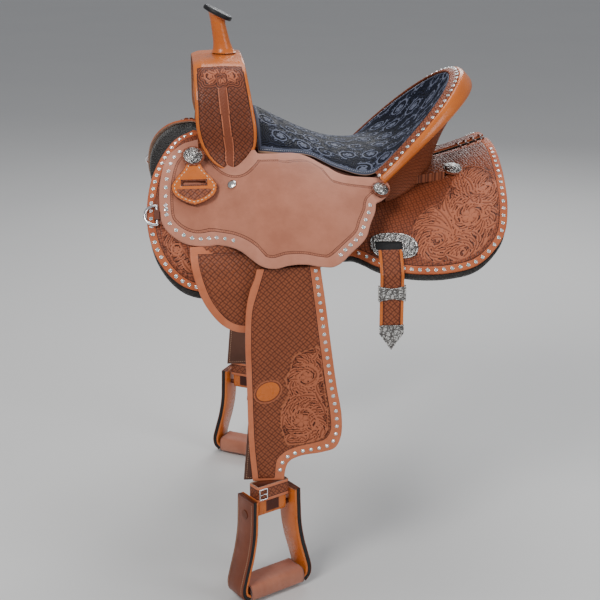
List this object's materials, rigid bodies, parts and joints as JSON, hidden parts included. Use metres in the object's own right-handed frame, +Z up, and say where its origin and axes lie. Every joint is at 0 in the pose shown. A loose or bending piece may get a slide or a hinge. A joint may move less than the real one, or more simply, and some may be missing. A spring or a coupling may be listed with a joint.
{
  "type": "western saddle",
  "caption": "Western barrel saddle: horn, padded tooled seat, roughout seat jockeys, tooled skirts, and fenders whose leathers swing, lift and carry turning stirrups.",
  "frame": {"origin": "centreline, on the ridge of the horse's back or rack under the saddle, where the rise to the withers begins", "axes": "+X to the rear (cantle), -Y to the rider's left, +Z up"},
  "size_m": [0.6894, 0.752, 1.0904],
  "materials": {
    "tooled_leather": "carved and basket-stamped, oiled chestnut",
    "orange_leather": "smooth, glossy, orange tan",
    "roughout_leather": "napped flesh side, pinkish tan",
    "strap_leather": "plain harness leather, dark",
    "black_seat_leather": "floral embossed, blue-black with silver highlights",
    "black_leather": "smooth, black",
    "woolskin": "dense woolskin",
    "seat_foam": "closed-cell foam",
    "lacing": "leather string",
    "tree_wood": "laminated wood, sealed",
    "steel": "brushed",
    "engraved_silver": "engraved, antiqued",
    "nickel": "polished"
  },
  "bodies": {
    "root": {"skirt_left": "tooled_leather", "skirt_right": "tooled_leather", "skirt_linings": "woolskin", "skirt_lacing": "lacing", "tree_bars": "tree_wood", "tree_fork": "tree_wood", "tree_cantle": "tree_wood", "saddle_screws": "engraved_silver", "gullet_cover": "roughout_leather", "swell_cover": "tooled_leather", "horn_core": "steel", "horn_wrap": "orange_leather", "horn_cap": "black_leather", "cantle_facing": "tooled_leather", "cheyenne_roll": "orange_leather", "cantle_back": "orange_leather", "seat_cover": "black_seat_leather", "seat_foam": "seat_foam", "ground_seat": "strap_leather", "seat_strainer": "steel", "seat_jockey_left": "roughout_leather", "seat_jockey_right": "roughout_leather", "rigging_flaps": "tooled_leather", "rigging_plates": "steel", "conchos": "engraved_silver", "concho_rosettes": "tooled_leather", "dee_clips": "nickel", "flank_plates": "engraved_silver"},
    "leather_hanger_left": {"leather_hanger_left": "strap_leather"},
    "fender_left": {"fender_left": "tooled_leather", "stirrup_leather_left": "strap_leather", "leather_buckle_left": "steel"},
    "buckle_sleeve_left": {"buckle_sleeve_left": "steel"},
    "hobble_left": {"stirrup_loop_left": "orange_leather", "hobble_strap_left": "tooled_leather"},
    "stirrup_left": {"stirrup_frame_left": "tree_wood", "stirrup_cover_left": "orange_leather", "stirrup_tread_left": "roughout_leather", "stirrup_bolt_left": "steel"},
    "latigo_keeper_left": {"latigo_keeper_left": "tooled_leather"},
    "dee_ring_left": {"dee_ring_left": "nickel"},
    "flank_billet_left": {"flank_billet_left": "tooled_leather", "billet_tip_left": "engraved_silver"},
    "billet_keeper_left": {"billet_keeper_left": "engraved_silver"},
    "leather_hanger_right": {"leather_hanger_right": "strap_leather"},
    "fender_right": {"fender_right": "tooled_leather", "stirrup_leather_right": "strap_leather", "leather_buckle_right": "steel"},
    "buckle_sleeve_right": {"buckle_sleeve_right": "steel"},
    "hobble_right": {"stirrup_loop_right": "orange_leather", "hobble_strap_right": "tooled_leather"},
    "stirrup_right": {"stirrup_frame_right": "tree_wood", "stirrup_cover_right": "orange_leather", "stirrup_tread_right": "roughout_leather", "stirrup_bolt_right": "steel"},
    "latigo_keeper_right": {"latigo_keeper_right": "tooled_leather"},
    "dee_ring_right": {"dee_ring_right": "nickel"},
    "flank_billet_right": {"flank_billet_right": "tooled_leather", "billet_tip_right": "engraved_silver"},
    "billet_keeper_right": {"billet_keeper_right": "engraved_silver"}
  },
  "joints": [
    {"name": "fender_swing_left", "type": "hinge", "parent": "root", "child": "leather_hanger_left", "pos_m": [-0.068, -0.3045, -0.075], "axis": [0, 1, 0], "range_deg": [-12, 25]},
    {"name": "fender_lift_left", "type": "hinge", "parent": "leather_hanger_left", "child": "fender_left", "pos_m": [-0.068, -0.3045, -0.097], "axis": [-1, 0, 0], "range_deg": [0, 55]},
    {"name": "stirrup_turn_left", "type": "hinge", "parent": "fender_left", "child": "hobble_left", "pos_m": [-0.092, -0.312, -0.505], "axis": [0, 0, 1], "range_deg": [-30, 30]},
    {"name": "stirrup_pitch_left", "type": "hinge", "parent": "hobble_left", "child": "stirrup_left", "pos_m": [-0.092, -0.312, -0.56], "axis": [0.866, 0.5, 0], "range_deg": [-40, 40]},
    {"name": "buckle_sleeve_slide_left", "type": "slide", "parent": "fender_left", "child": "buckle_sleeve_left", "axis": [-0.0837, 0, -0.9965], "range_m": [0, 0.03]},
    {"name": "latigo_keeper_swing_left", "type": "hinge", "parent": "root", "child": "latigo_keeper_left", "pos_m": [-0.217, -0.156, 0.08978], "axis": [0, -0.6975, 0.7166], "range_deg": [-50, 5]},
    {"name": "dee_swing_left", "type": "hinge", "parent": "root", "child": "dee_ring_left", "pos_m": [-0.287, -0.238, 0.00216], "axis": [0, 0.5962, 0.8028], "range_deg": [0, 100]},
    {"name": "flank_billet_swing_left", "type": "hinge", "parent": "root", "child": "flank_billet_left", "pos_m": [0.1413, -0.249, -0.066], "axis": [-1, 0, 0], "range_deg": [0, 70]},
    {"name": "billet_keeper_slide_left", "type": "slide", "parent": "flank_billet_left", "child": "billet_keeper_left", "axis": [0, 0, -1], "range_m": [0, 0.04]},
    {"name": "fender_swing_right", "type": "hinge", "parent": "root", "child": "leather_hanger_right", "pos_m": [-0.068, 0.3045, -0.075], "axis": [0, 1, 0], "range_deg": [-12, 25]},
    {"name": "fender_lift_right", "type": "hinge", "parent": "leather_hanger_right", "child": "fender_right", "pos_m": [-0.068, 0.3045, -0.097], "axis": [1, 0, 0], "range_deg": [0, 55]},
    {"name": "stirrup_turn_right", "type": "hinge", "parent": "fender_right", "child": "hobble_right", "pos_m": [-0.092, 0.312, -0.505], "axis": [0, 0, -1], "range_deg": [-30, 30]},
    {"name": "stirrup_pitch_right", "type": "hinge", "parent": "hobble_right", "child": "stirrup_right", "pos_m": [-0.092, 0.312, -0.56], "axis": [0.866, -0.5, 0], "range_deg": [-40, 40]},
    {"name": "buckle_sleeve_slide_right", "type": "slide", "parent": "fender_right", "child": "buckle_sleeve_right", "axis": [-0.0837, 0, -0.9965], "range_m": [0, 0.03]},
    {"name": "latigo_keeper_swing_right", "type": "hinge", "parent": "root", "child": "latigo_keeper_right", "pos_m": [-0.217, 0.156, 0.08978], "axis": [0, -0.6975, -0.7166], "range_deg": [-50, 5]},
    {"name": "dee_swing_right", "type": "hinge", "parent": "root", "child": "dee_ring_right", "pos_m": [-0.287, 0.238, 0.00216], "axis": [0, 0.5962, -0.8028], "range_deg": [0, 100]},
    {"name": "flank_billet_swing_right", "type": "hinge", "parent": "root", "child": "flank_billet_right", "pos_m": [0.1413, 0.249, -0.066], "axis": [1, 0, 0], "range_deg": [0, 70]},
    {"name": "billet_keeper_slide_right", "type": "slide", "parent": "flank_billet_right", "child": "billet_keeper_right", "axis": [0, 0, -1], "range_m": [0, 0.04]}
  ]
}
